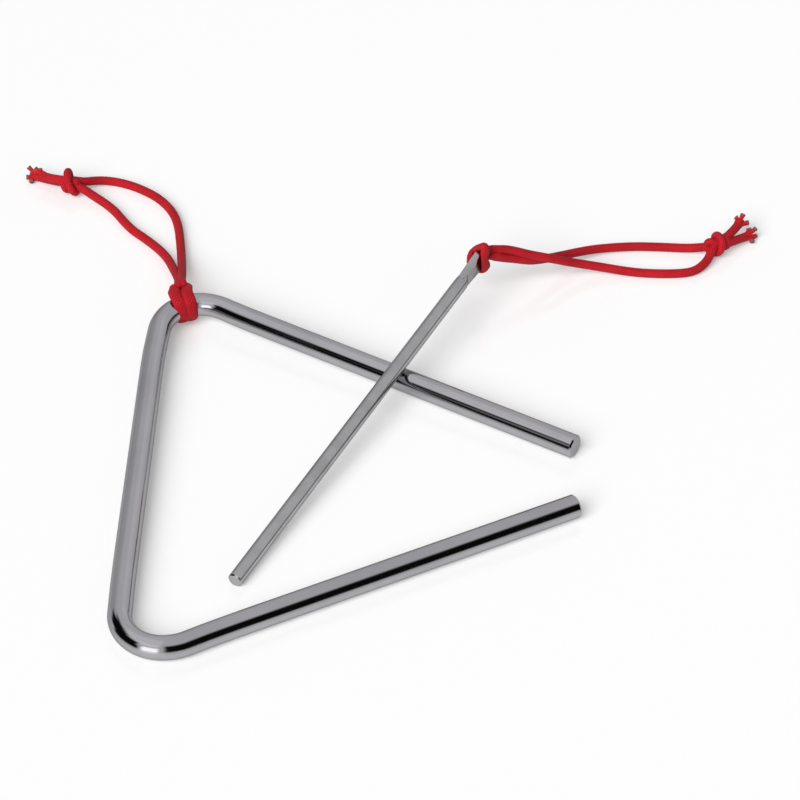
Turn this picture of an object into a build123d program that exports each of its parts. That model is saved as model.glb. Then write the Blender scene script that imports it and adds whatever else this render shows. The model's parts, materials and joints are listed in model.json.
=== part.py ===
from build123d import *
import math
import os

# A struck triangle lying on a table, its beater resting across one leg, each with a loop of red cord.
# Millimetres. Layout frame: the open corner points along +X, the table is z = 0, +Y is away from the viewer.

# Triangle rod
rod_diameter = 8.0
corner_spacing = 195.5      # between the points where neighbouring centre lines would meet
open_leg_length = 165.5     # from such a point to a free end
bend_radius = 15.0          # of the centre line
leg_end_chamfer = 0.5

# Beater
beater_diameter = 5.0
beater_length = 180.0
beater_end_chamfer = 0.4
blade_length = 20.0         # hammered flat, at the eye end
blade_thickness = 2.4
blade_ramp = 3.0            # from round rod to flat blade
blade_edge_round = 0.4
eye_diameter = 8.0          # rounded end of the blade
eye_hole_diameter = 5.2

# How the beater lies on the upper leg
beater_heading = 25.7       # degrees from +Y towards +X, seen from above
crossing_on_leg = 0.4987 * corner_spacing     # from the upper corner point to where the beater crosses
crossing_on_beater = 0.5821 * corner_spacing  # from the beater's lower end to the crossing
rest_gap = 0.2              # between beater and leg

# Cord
cord_diameter = 3.0
tight_cord = 2.0            # where a hitch pulls the cord thin
cord_gap = 0.5              # between neighbouring turns of a hitch
hitch_clearance = 0.4       # between rod and hitch
hitch_floor_gap = 0.05
eye_clearance = 1.0         # between blade and hitch
strand_pitch = 3.4          # between the two strands where they leave the holder's hitch
eye_strand_pitch = 3.8      # the same at the beater's hitch, where they leave on a slope

# Holder hitch on the upper bend
hitch_turn = 8.0            # degrees past the middle of the bend, towards the upper leg
landing_reach = 21.0        # from the rod's axis to where the strands reach the table
strand_lean = 2.5           # sideways, over that reach

# Beater hitch at the eye
exit_reach = 9.0            # from the eye to where the strands leave the hitch

# Knots
knot_length = 9.0
knot_diameter = 8.6
knot_waist_diameter = 7.8
knot_end_diameter = 4.4

# Hand-laid routes of the loops and tails, from where the hitch or knot lets go
holder_right_route = [
    (-51.8, 116.0, 1.5), (-53.0, 129.0, 1.5), (-54.8, 143.0, 1.5), (-58.0, 152.0, 1.5), (-63.4, 160.0, 1.5),
    (-70.3, 165.8, 1.5), (-77.2, 169.2, 1.5), (-83.6, 169.9, 1.7), (-88.2, 168.2, 2.6), (-91.5, 165.6, 3.8),
]
holder_left_route = [
    (-55.6, 114.5, 1.5), (-58.5, 122.5, 1.5), (-62.6, 129.0, 1.5), (-66.8, 134.0, 1.5), (-71.0, 138.2, 1.5),
    (-74.8, 144.0, 1.5), (-78.2, 149.8, 1.5), (-82.2, 154.3, 1.6), (-87.2, 158.2, 2.4), (-91.6, 161.3, 3.8),
]
holder_knot_centre = (-94.8, 163.6, 4.4)
holder_knot_heading = (-0.86, 0.51, 0.0)
holder_tail_top_route = [(-98.0, 163.6, 6.2), (-102.0, 165.6, 5.2), (-106.4, 168.4, 4.2), (-110.8, 170.6, 3.8)]
holder_tail_under_route = [(-97.7, 165.9, 3.3), (-101.6, 168.6, 2.2), (-106.0, 171.2, 1.5), (-110.8, 173.2, 1.5)]
beater_near_route = [
    (72.0, 108.5, 15.2), (79.0, 112.5, 10.8), (86.5, 116.5, 6.4), (96.5, 119.0, 2.9), (108.2, 117.8, 1.5),
    (117.7, 117.4, 1.5), (126.0, 119.0, 1.5), (132.8, 123.4, 1.9), (137.6, 129.8, 3.4),
]
beater_far_route = [
    (71.5, 109.5, 11.4), (78.3, 116.6, 8.0), (85.5, 124.0, 5.2), (94.5, 130.8, 2.8), (107.5, 134.4, 1.6),
    (118.2, 134.6, 1.5), (128.1, 133.8, 1.9), (135.6, 133.2, 3.6),
]
beater_knot_centre = (139.0, 133.0, 4.4)
beater_knot_heading = (0.6, 0.8, 0.0)
beater_tail_raised_route = [(140.0, 135.6, 6.6), (142.4, 138.9, 6.0), (145.0, 142.9, 5.6), (147.4, 147.6, 5.5)]
beater_tail_low_route = [(141.9, 135.0, 3.6), (144.6, 137.8, 2.6), (147.6, 140.3, 1.8), (151.2, 142.6, 1.5)]

# Values that follow from the sizes above
rod_radius = rod_diameter / 2
beater_radius = beater_diameter / 2
cord_radius = cord_diameter / 2
eye_radius = eye_diameter / 2
up = Vector(0, 0, 1)
corner_angle = 60.0         # the triangle is equilateral
turn_share = 0.45           # of the shorter run, given to each side of a turn in a cord


def heading(degrees):
    """Level direction, counted from +X towards +Y."""
    return Vector(math.cos(math.radians(degrees)), math.sin(math.radians(degrees)), 0)


def tube(path, diameter):
    """Round bar along a path."""
    section = Plane(origin=path @ 0, z_dir=path % 0) * Circle(diameter / 2)
    return sweep(section, path=path)


def cord_tube(name, points):
    """Cord along straight runs joined by arcs as large as the runs allow."""
    points = [Vector(point) for point in points]
    radii = []
    for before, corner, after in zip(points, points[1:], points[2:]):
        shorter_run = min((corner - before).length, (after - corner).length)
        turn = math.radians((corner - before).get_angle(after - corner))
        radii.append(turn_share * shorter_run / math.tan(turn / 2))
    path = FilletPolyline(*points, radius=radii)
    solid = tube(path, cord_diameter)
    share = solid.volume / (math.pi * cord_radius ** 2 * path.length)
    print(f"{name}: length {path.length:.1f}, least radius {min(radii):.1f}, volume share {share:.4f}")
    print(f"  radii {[round(radius, 1) for radius in radii]}")
    return solid


def biarc(start, start_way, end, end_way):
    """Two arcs that leave start along start_way and meet end along end_way."""
    chord = end - start
    square = 2 * (1 - start_way.dot(end_way))
    linear = 2 * chord.dot(start_way + end_way)
    reach = 2 * chord.dot(chord) / (linear + math.sqrt(linear ** 2 + 4 * square * chord.dot(chord)))
    first_pole = start + start_way * reach
    second_pole = end - end_way * reach
    middle = (first_pole + second_pole) / 2
    first = TangentArc(start, middle, tangent=start_way)
    second = TangentArc(middle, end, tangent=second_pole - first_pole)
    return [first, second]


def least_self_gap(edges, diameter):
    """Least gap between stretches of one tube that are not neighbours along it."""
    spacing = diameter / 8
    stations = []
    travelled = 0.0
    for edge in edges:
        count = math.ceil(edge.length / spacing)
        for step in range(count):
            stations.append((travelled + edge.length * step / count, edge @ (step / count)))
        travelled += edge.length
    neighbour_reach = 2.5 * diameter
    gaps = []
    for index, (place, point) in enumerate(stations):
        for other_place, other_point in stations[index + 1:]:
            if other_place - place > neighbour_reach:
                gaps.append((other_point - point).length - diameter)
    return min(gaps)


def hitch_tube(name, halves):
    """One unbroken tube through a hitch; each half runs from the middle of its bar to a strand."""
    first = [(point, way * -1) for point, way in reversed(halves[0])]
    stations = first + halves[1][1:]
    edges = []
    for (start, start_way), (end, end_way) in zip(stations, stations[1:]):
        edges += biarc(start, start_way, end, end_way)
    path = Wire(edges)
    solid = tube(path, tight_cord)
    share = solid.volume / (math.pi * (tight_cord / 2) ** 2 * path.length)
    least_radius = min(edge.radius for edge in edges)
    gap = least_self_gap(edges, tight_cord)
    print(f"{name}: length {path.length:.1f}, least radius {least_radius:.2f}, gap {gap:.2f}, share {share:.4f}")
    return solid


def knot_solid(centre, way):
    """Plain lump of a pulled-tight knot: two swellings along the cord, with a waist between them."""
    half_length = knot_length / 2
    outline = Polyline((0, -half_length), (knot_end_diameter / 2, -half_length))
    end_point = (knot_end_diameter / 2, half_length)
    waist_point = (knot_waist_diameter / 2, 0)
    swell_point = (knot_diameter / 2, half_length / 2)
    swell_mirror = (knot_diameter / 2, -half_length / 2)
    lower = ThreePointArc(outline @ 1, swell_mirror, waist_point)
    upper = ThreePointArc(waist_point, swell_point, end_point)
    closing = Polyline(end_point, (0, half_length), (0, -half_length))
    profile = make_face([*outline.edges(), lower, upper, *closing.edges()])
    lump = revolve(Plane.XZ * profile, axis=Axis.Z)
    return Plane(origin=centre, z_dir=way) * lump


# Triangle rod, bent flat and then tipped about its lower leg, because the hitch lies under its upper bend
corner_back = -corner_spacing / (2 * math.sqrt(3))
upper_corner = Vector(corner_back, corner_spacing / 2, rod_radius)
lower_corner = Vector(corner_back, -corner_spacing / 2, rod_radius)
upper_leg_way = heading(-corner_angle / 2)
lower_leg_way = heading(corner_angle / 2)
upper_leg_end = upper_corner + upper_leg_way * open_leg_length
lower_leg_end = lower_corner + lower_leg_way * open_leg_length
rod_path = FilletPolyline(upper_leg_end, upper_corner, lower_corner, lower_leg_end, radius=bend_radius)
flat_rod = tube(rod_path, rod_diameter)
leg_end_edges = [edge for edge in flat_rod.edges().filter_by(GeomType.CIRCLE)
                 if min((edge.arc_center - end).length for end in (upper_leg_end, lower_leg_end)) < rod_radius]
flat_rod = chamfer(leg_end_edges, leg_end_chamfer)

bend_centre = upper_corner + heading(-corner_angle) * (bend_radius / math.sin(math.radians(corner_angle / 2)))
hitch_outward = heading(180 - corner_angle - hitch_turn)
hitch_point = bend_centre + hitch_outward * bend_radius
leg_side_way = heading(corner_angle / 2 + 90)
hitch_lift = hitch_clearance + tight_cord + hitch_floor_gap
tip_angle = math.degrees(math.asin(hitch_lift / (hitch_point - lower_corner).dot(leg_side_way)))
tip_axis = Axis(lower_corner, lower_leg_way)
triangle_rod = flat_rod.rotate(tip_axis, tip_angle)


def tipped(point):
    """Where a point of the flat triangle lies once the triangle is tipped."""
    return Vertex(*point).rotate(tip_axis, tip_angle).center()


hitch_origin = tipped(hitch_point)
hitch_out = tipped(hitch_point + hitch_outward) - hitch_origin
hitch_along = tipped(hitch_point + heading(90 - corner_angle - hitch_turn)) - hitch_origin
hitch_up = hitch_along.cross(hitch_out)
leg_start = tipped(upper_corner)
leg_way = tipped(upper_corner + upper_leg_way) - leg_start


def beater_line():
    """Lower end and direction of the beater, touching the table and lying across the upper leg."""
    level = heading(90 - beater_heading)
    crossing = leg_start + leg_way * crossing_on_leg
    spacing = rod_radius + beater_radius + rest_gap
    slope = 0.0
    settled = False
    while not settled:
        way = level * math.cos(slope) + up * math.sin(slope)
        across = way.cross(leg_way).normalized()
        seat = crossing + across * spacing * math.copysign(1, across.Z)
        better_slope = math.asin((seat.Z - beater_radius * math.cos(slope)) / crossing_on_beater)
        settled = math.isclose(better_slope, slope, abs_tol=1e-9)
        slope = better_slope
    return seat - way * crossing_on_beater, way


beater_foot, beater_way = beater_line()
eye_side = beater_way.cross(up).normalized()
eye_over = eye_side.cross(beater_way)
eye_station = beater_length - eye_radius
eye_centre = beater_foot + beater_way * eye_station


def make_beater():
    """Round rod, ramped down to a flat blade with a rounded, pierced end; built upright, then laid down."""
    shoulder = beater_length - blade_length
    rod = Pos(0, 0, (shoulder + blade_ramp) / 2) * Cylinder(beater_radius, shoulder + blade_ramp)
    rod = chamfer(rod.edges().sort_by(Axis.Z)[0], beater_end_chamfer)
    half_blade = blade_thickness / 2
    side_outline = Polyline(
        (-beater_radius, 0), (-beater_radius, shoulder), (-half_blade, shoulder + blade_ramp),
        (half_blade, shoulder + blade_ramp), (beater_radius, shoulder), (beater_radius, 0), close=True)
    side_face = make_face(Plane.XZ * side_outline)
    ramped = rod & extrude(side_face, amount=beater_radius, both=True)
    neck_to_eye = eye_station - shoulder
    neck_reach = math.hypot(beater_radius, neck_to_eye)
    touch_turn = math.acos(eye_radius / neck_reach) + math.atan2(beater_radius, neck_to_eye)
    touch_across = eye_radius * math.sin(touch_turn)
    touch_station = eye_station - eye_radius * math.cos(touch_turn)
    right_side = Polyline((-beater_radius, shoulder), (beater_radius, shoulder), (touch_across, touch_station))
    round_end = ThreePointArc((touch_across, touch_station), (0, beater_length), (-touch_across, touch_station))
    left_side = Line((-touch_across, touch_station), (-beater_radius, shoulder))
    outline = make_face([*right_side.edges(), round_end, left_side])
    blade_face = outline - Pos(0, eye_station) * Circle(eye_hole_diameter / 2)
    blade = extrude(Plane.YZ * blade_face, amount=half_blade, both=True)
    flat_edges = blade.faces().sort_by(Axis.X)[0].edges() + blade.faces().sort_by(Axis.X)[-1].edges()
    round_edges = [edge for edge in flat_edges if edge.center().Z > shoulder + blade_edge_round]
    blade = fillet(round_edges, blade_edge_round)
    return Plane(origin=beater_foot, x_dir=eye_side * -1, z_dir=beater_way) * (ramped + blade)


beater_rod = make_beater()

# Hitches
half_strands = (tight_cord + cord_gap) / 2
wrap_radius = rod_radius + hitch_clearance + tight_cord / 2
bar_reach = wrap_radius + tight_cord + cord_gap
crossing_rise = tight_cord + 2 * cord_gap
shoulder_reach = half_strands + crossing_rise
landing_height = cord_radius - hitch_origin.Z


def at_rod(along, out, over):
    """Point or direction beside the rod: along it, outwards, upwards."""
    return hitch_along * along + hitch_out * out + hitch_up * over


def holder_exit(side):
    """Where a strand of the holder's hitch reaches the table; side is 1 or -1."""
    return hitch_origin + at_rod(strand_lean + side * strand_pitch / 2, landing_reach, landing_height)


def holder_half(side, route):
    """Half of the hitch on the rod: bar, shoulder, once round the rod, up through the bight and over the bar."""
    shoulder_turn = math.radians(20)
    shoulder_out = bar_reach * math.cos(shoulder_turn)
    shoulder_over = bar_reach * math.sin(shoulder_turn)
    top_along = 2.0 * half_strands
    inner_along = 1.3 * half_strands
    inner_reach = wrap_radius + inner_along ** 2 / (2 * bend_radius)
    wraps = [
        ((0, bar_reach, 0), (side, 0, 0)),
        ((side * shoulder_reach, shoulder_out, shoulder_over), (0, -0.6, 0.8)),
        ((side * top_along, 0, wrap_radius), (-0.15 * side, -1, 0)),
        ((side * inner_along, -inner_reach, 0), (-0.08 * side, 0, -1)),
        ((side * half_strands, 0, -wrap_radius), (0, 1, 0)),
        ((side * half_strands, wrap_radius, 0), (0, 0, 1)),
        ((side * half_strands, bar_reach, crossing_rise), (0, 1, 0)),
    ]
    stations = [(hitch_origin + at_rod(*place), at_rod(*way).normalized()) for place, way in wraps]
    stations.append((holder_exit(side), (Vector(route[0]) - holder_exit(side)).normalized()))
    return stations


def at_eye(side_way, along, over):
    """Point or direction at the eye: along its hole, along the beater, upwards."""
    return eye_side * side_way + beater_way * along + eye_over * over


def beater_exit(side):
    """Where a strand leaves the beater's hitch; side is 1 for the upper strand and -1 for the lower."""
    return eye_centre + Vector(exit_reach, 0, 0) + eye_over * (side * eye_strand_pitch / 2)


def beater_half(side, route):
    """Half of the hitch in the eye: bar, forward past the strands, round the rim and back through the hole."""
    rim_reach = eye_radius + eye_clearance + tight_cord / 2
    flat_reach = blade_thickness / 2 + eye_clearance + tight_cord / 2
    rim_share = rim_reach * math.sqrt(0.5)
    turn_in = (eye_radius + eye_hole_diameter / 2) / 2 * math.sqrt(0.5)
    wraps = [
        ((flat_reach, -crossing_rise, 0), (0, 0, side)),
        ((flat_reach, 0, side * shoulder_reach), (0, 1, 0)),
        ((0, rim_share, side * rim_share), (-1, 0, 0)),
        ((-flat_reach, turn_in, side * turn_in), (0, -1, -side)),
        ((0, 0, side * half_strands), (1, 0, 0)),
    ]
    stations = [(eye_centre + at_eye(*place), at_eye(*way).normalized()) for place, way in wraps]
    stations.append((beater_exit(side), (Vector(route[0]) - beater_exit(side)).normalized()))
    return stations


nodes = {
    "triangle_rod": triangle_rod,
    "beater_rod": beater_rod,
    "holder_hitch": hitch_tube(
        "holder_hitch", [holder_half(1, holder_right_route), holder_half(-1, holder_left_route)]),
    "holder_strand_right": cord_tube("holder_strand_right", [holder_exit(1), *holder_right_route]),
    "holder_strand_left": cord_tube("holder_strand_left", [holder_exit(-1), *holder_left_route]),
    "holder_knot": knot_solid(holder_knot_centre, holder_knot_heading),
    "holder_tail_top": cord_tube("holder_tail_top", holder_tail_top_route),
    "holder_tail_under": cord_tube("holder_tail_under", holder_tail_under_route),
    "beater_hitch": hitch_tube(
        "beater_hitch", [beater_half(1, beater_near_route), beater_half(-1, beater_far_route)]),
    "beater_strand_near": cord_tube("beater_strand_near", [beater_exit(1), *beater_near_route]),
    "beater_strand_far": cord_tube("beater_strand_far", [beater_exit(-1), *beater_far_route]),
    "beater_knot": knot_solid(beater_knot_centre, beater_knot_heading),
    "beater_tail_raised": cord_tube("beater_tail_raised", beater_tail_raised_route),
    "beater_tail_low": cord_tube("beater_tail_low", beater_tail_low_route),
}

# The origin is on the table, under the middle of the triangle and beater
rigid_box = Compound([triangle_rod, beater_rod]).bounding_box()
origin = Vector(rigid_box.center().X, rigid_box.center().Y, 0)

os.makedirs("parts", exist_ok=True)
for node, solid in nodes.items():
    export_step(Pos(*(origin * -1)) * solid, f"parts/{node}.step")

# Places that the description of the part needs, in the final frame
for label, point in (
        ("holder hinge", hitch_origin), ("eye hinge", eye_centre), ("lower leg end", lower_leg_end),
        ("upper leg end", tipped(upper_leg_end)), ("beater foot", beater_foot),
        ("holder knot", Vector(holder_knot_centre)), ("layout origin", Vector(0, 0, 0))):
    print(label, [round(value, 3) for value in (point - origin)])
for label, way in (("hitch along", hitch_along), ("eye side", eye_side), ("beater way", beater_way),
                   ("upper leg way", leg_way), ("lower leg way", lower_leg_way)):
    print(label, [round(value, 5) for value in way])
print(f"tipped by {tip_angle:.3f} degrees, box {rigid_box.size}")
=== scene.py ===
"""Dresses a struck triangle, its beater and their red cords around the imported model."""

import json
import logging
import math
from abc import ABC, abstractmethod
from dataclasses import dataclass, field
from enum import Enum

import bpy
import numpy as np
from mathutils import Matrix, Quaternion, Vector

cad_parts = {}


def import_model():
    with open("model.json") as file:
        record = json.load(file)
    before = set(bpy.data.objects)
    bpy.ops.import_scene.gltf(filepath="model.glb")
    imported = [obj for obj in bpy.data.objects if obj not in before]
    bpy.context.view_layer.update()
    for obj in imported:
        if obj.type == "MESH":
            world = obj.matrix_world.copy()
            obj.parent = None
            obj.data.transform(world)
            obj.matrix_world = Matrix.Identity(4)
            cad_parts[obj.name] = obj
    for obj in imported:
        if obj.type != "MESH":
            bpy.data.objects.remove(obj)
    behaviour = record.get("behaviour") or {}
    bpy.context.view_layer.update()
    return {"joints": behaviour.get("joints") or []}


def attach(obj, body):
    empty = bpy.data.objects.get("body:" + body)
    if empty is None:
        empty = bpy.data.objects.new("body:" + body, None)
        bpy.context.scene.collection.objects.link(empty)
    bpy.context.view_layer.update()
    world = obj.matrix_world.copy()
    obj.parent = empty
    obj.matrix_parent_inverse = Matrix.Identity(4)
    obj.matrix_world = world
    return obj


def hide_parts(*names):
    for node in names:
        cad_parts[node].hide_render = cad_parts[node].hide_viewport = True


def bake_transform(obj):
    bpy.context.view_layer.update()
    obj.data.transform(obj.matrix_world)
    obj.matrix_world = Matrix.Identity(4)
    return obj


Point = tuple[float, float, float]
Route = tuple[Point, ...]
Colour = tuple[float, float, float]
Shade = tuple[float, float, float, float]
Input = float | Shade | bpy.types.NodeSocket
Joint = dict[str, object]

LOG = logging.getLogger("triangle_set")
MM = 0.001
FULL_TURN = 2 * math.pi
ROUNDING = 1e-9                # room for rounding in a comparison
LAYOUT_SHIFT = Vector((-14.104, -8.768, 0.0))  # from the layout's own origin to the part's, in millimetres
UP = Vector((0.0, 0.0, 1.0))
BEATER_WAY = (0.43213, 0.89791, 0.08378)       # from the beater's foot to its eye


class Side(Enum):
    """The two halves of a loop of cord, each with the sign that it takes."""

    FIRST = 1
    SECOND = -1


class Body(Enum):
    """The moving bodies of the part."""

    TRIANGLE = "triangle"
    HOLDER_CORD = "holder_cord"
    BEATER = "beater"
    BEATER_CORD = "beater_cord"


class Slot(Enum):
    """The finishes that can be swapped."""

    CHROME = "chrome"
    STEEL = "steel"
    CORD = "red_cord"


def place(point: Point) -> Vector:
    """Turns a layout point in millimetres into the part's frame in metres."""
    return (Vector(point) + LAYOUT_SHIFT) * MM


def place_all(points: Route) -> list[Vector]:
    """Turns a route in layout millimetres into poles in the part's frame."""
    return [place(point) for point in points]


def opaque(colour: Colour) -> Shade:
    """Adds a full alpha to a colour."""
    return (*colour, 1.0)


def read_line(poles: list[Vector], steps: int = 16) -> np.ndarray:
    """Lays a smooth spline on its poles and reads the points along it.

    Args:
        poles: control points, in metres.
        steps: points read for each pole.

    Returns:
        The points, one row each.
    """
    curve = bpy.data.curves.new("passing_line", "CURVE")
    curve.dimensions = "3D"
    spline = curve.splines.new("NURBS")
    spline.points.add(len(poles) - 1)
    for point, pole in zip(spline.points, poles):
        point.co = (*pole, 1.0)
    spline.order_u = 3
    spline.use_endpoint_u = True
    spline.resolution_u = steps
    holder = bpy.data.objects.new("passing_line", curve)
    mesh = bpy.data.meshes.new_from_object(holder)
    points = np.empty(3 * len(mesh.vertices))
    mesh.vertices.foreach_get("co", points)
    bpy.data.objects.remove(holder)
    bpy.data.curves.remove(curve)
    bpy.data.meshes.remove(mesh)
    return points.reshape(-1, 3)


def travelled(points: np.ndarray) -> np.ndarray:
    """Measures how far along a line each of its points is."""
    lengths = np.linalg.norm(np.diff(points, axis=0), axis=1)
    return np.concatenate([[0.0], np.cumsum(lengths)])


def even_points(points: np.ndarray, spacing: float, fewest: int = 4) -> tuple[np.ndarray, np.ndarray]:
    """Spaces the points of a line evenly along it.

    Args:
        points: points read from a spline.
        spacing: wanted distance between neighbours, in metres.
        fewest: points that even a short line gets.

    Returns:
        The evenly spaced points, and how far along the line each one is.
    """
    reached = travelled(points)
    count = max(fewest, int(math.ceil(reached[-1] / spacing)) + 1)
    along = np.linspace(0.0, reached[-1], count)
    columns = [np.interp(along, reached, points[:, axis]) for axis in range(3)]
    return np.stack(columns, axis=1), along


def unit_rows(rows: np.ndarray) -> np.ndarray:
    """Scales each row to length one."""
    return rows / np.linalg.norm(rows, axis=1, keepdims=True)


def smooth_step(share: np.ndarray) -> np.ndarray:
    """Eases shares from 0 to 1 in and out."""
    return share * share * (3 - 2 * share)


def carried_normals(tangents: np.ndarray) -> np.ndarray:
    """Carries a normal along a line without twisting it.

    Args:
        tangents: unit tangents along the line.

    Returns:
        One unit normal for each tangent.
    """
    first = tangents[0]
    helper = np.eye(3)[int(np.argmin(np.abs(first)))]
    normals = [np.cross(first, helper)]
    for tangent in tangents[1:]:
        last = normals[-1]
        normals.append(last - tangent * np.dot(last, tangent))
        normals[-1] /= np.linalg.norm(normals[-1])
    return unit_rows(np.array(normals))


@dataclass(frozen=True)
class Braid:
    """Tubular braid of a cord: carriers that cross over and under one another."""

    carriers: int = 10
    turn_length: float = 12.0 * MM
    relief: float = 0.13 * MM
    dip: float = 0.45               # share of its height that a carrier loses towards a crossing

    def crowns(self, along: np.ndarray, angles: np.ndarray) -> np.ndarray:
        """Works out how high the braid stands at each point of a tube.

        Args:
            along: distance along the cord, one for each ring.
            angles: angle round the cord, one for each column.

        Returns:
            Heights from 0 in a groove to 1 on a carrier's crown, rings by columns.
        """
        turns = along[:, None] / self.turn_length
        shares = angles[None, :] / FULL_TURN
        right = (shares + turns) * self.carriers
        left = (shares - turns) * self.carriers
        right_on_top = (np.floor(right) + np.floor(left)) % 2 == 0
        across_right = np.sin(math.pi * (right % 1.0))
        across_left = np.sin(math.pi * (left % 1.0))
        top = np.where(right_on_top, across_left, across_right)
        run = np.where(right_on_top, across_right, across_left)
        return np.sqrt(top) * (1.0 - self.dip + self.dip * run)


@dataclass
class MeshPile:
    """Gathers tubes and skins into one mesh, with a height and a fray value at each point."""

    points: list[np.ndarray] = field(default_factory=list)
    faces: list[tuple[int, ...]] = field(default_factory=list)
    crowns: list[np.ndarray] = field(default_factory=list)
    frays: list[np.ndarray] = field(default_factory=list)
    count: int = 0

    def add_points(self, points: np.ndarray, crowns: np.ndarray, frays: np.ndarray) -> int:
        """Adds points with their values.

        Args:
            points: one row each.
            crowns: height of the braid at each point, from 0 to 1.
            frays: how far each point is towards a singed tip, from 0 to 1.

        Returns:
            The number of the first new point.
        """
        start = self.count
        self.points.append(points)
        self.crowns.append(crowns)
        self.frays.append(frays)
        self.count += len(points)
        return start

    def join_rings(self, start: int, rings: int, columns: int, closed: bool) -> None:
        """Joins rings of points with four-sided faces.

        Args:
            start: number of the first point.
            rings: how many rings there are.
            columns: points in each ring.
            closed: True where the last ring joins the first again.
        """
        for ring in range(rings if closed else rings - 1):
            low = start + ring * columns
            high = start + (ring + 1) % rings * columns
            for column in range(columns):
                beside = (column + 1) % columns
                self.faces.append((low + column, low + beside, high + beside, high + column))

    def add_tube(self, line: np.ndarray, along: np.ndarray, high: np.ndarray, wide: np.ndarray, columns: int,
                 braid: Braid | None = None, facing: np.ndarray | None = None,
                 fray: np.ndarray | None = None) -> None:
        """Adds a closed tube.

        Args:
            line: centre points along the tube.
            along: distance of each centre point along the line.
            high: half thickness at each centre point, in the facing direction.
            wide: half width at each centre point, across it.
            columns: points round the tube.
            braid: relief of the surface, if it is braided.
            facing: direction that the thickness is measured in; carried along the line if it is left out.
            fray: how far each centre point is towards a singed tip, from 0 to 1.
        """
        tangents = unit_rows(np.gradient(line, axis=0))
        if facing is None:
            normals = carried_normals(tangents)
        else:
            lean = np.sum(facing * tangents, axis=1, keepdims=True)
            normals = unit_rows(facing - tangents * lean)
        sides = np.cross(tangents, normals)
        angles = np.arange(columns) * (FULL_TURN / columns)
        rings = len(line)
        crown = np.ones((rings, columns)) if braid is None else braid.crowns(along, angles)
        relief = 0.0 if braid is None else braid.relief
        lift = relief * (crown - 1.0)
        reach_high = (high[:, None] + lift) * np.cos(angles)[None, :]
        reach_wide = (wide[:, None] + lift) * np.sin(angles)[None, :]
        skin = (line[:, None, :] + normals[:, None, :] * reach_high[:, :, None]
                + sides[:, None, :] * reach_wide[:, :, None])
        tips = np.zeros(rings) if fray is None else fray
        start = self.add_points(skin.reshape(-1, 3), crown.reshape(-1), np.repeat(tips, columns))
        self.join_rings(start, rings, columns, closed=False)
        first_cap = self.add_points(line[[0, -1]], np.ones(2), tips[[0, -1]])
        last_ring = start + (rings - 1) * columns
        for column in range(columns):
            beside = (column + 1) % columns
            self.faces.append((first_cap, start + beside, start + column))
            self.faces.append((first_cap + 1, last_ring + column, last_ring + beside))

    def add_grid(self, rings: np.ndarray, capped: bool) -> None:
        """Adds a skin over rings of points.

        Args:
            rings: points, rings by columns by three.
            capped: True for a bar with closed ends, False for rings that close on themselves.
        """
        count, columns = rings.shape[:2]
        start = self.add_points(rings.reshape(-1, 3), np.ones(count * columns), np.zeros(count * columns))
        self.join_rings(start, count, columns, closed=not capped)
        if capped:
            last = start + (count - 1) * columns
            self.faces.append(tuple(start + column for column in reversed(range(columns))))
            self.faces.append(tuple(last + column for column in range(columns)))

    def make(self, name: str, material: bpy.types.Material) -> bpy.types.Object:
        """Makes one smooth mesh object of what was gathered.

        Args:
            name: name of the object.
            material: its finish.

        Returns:
            The object, linked to the scene.
        """
        mesh = bpy.data.meshes.new(name)
        mesh.from_pydata(np.concatenate(self.points).tolist(), [], self.faces)
        for title, values in (("crown", self.crowns), ("fray", self.frays)):
            layer = mesh.attributes.new(title, "FLOAT", "POINT")
            layer.data.foreach_set("value", np.concatenate(values).astype(np.float32))
        mesh.polygons.foreach_set("use_smooth", [True] * len(mesh.polygons))
        mesh.materials.append(material)
        piece = bpy.data.objects.new(name, mesh)
        bpy.context.scene.collection.objects.link(piece)
        return piece


def dress(piece: bpy.types.Object, node: str, body: Body | None) -> None:
    """Puts a piece in the place of a solid of the model.

    Args:
        piece: the dressed piece.
        node: the solid that it stands for.
        body: the body that it rides on, or None for a piece that lies between two bodies and rides on
            neither.
    """
    if body is not None:
        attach(piece, body.value)
    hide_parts(node)
    LOG.info("%s stands for %s", piece.name, node)


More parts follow.
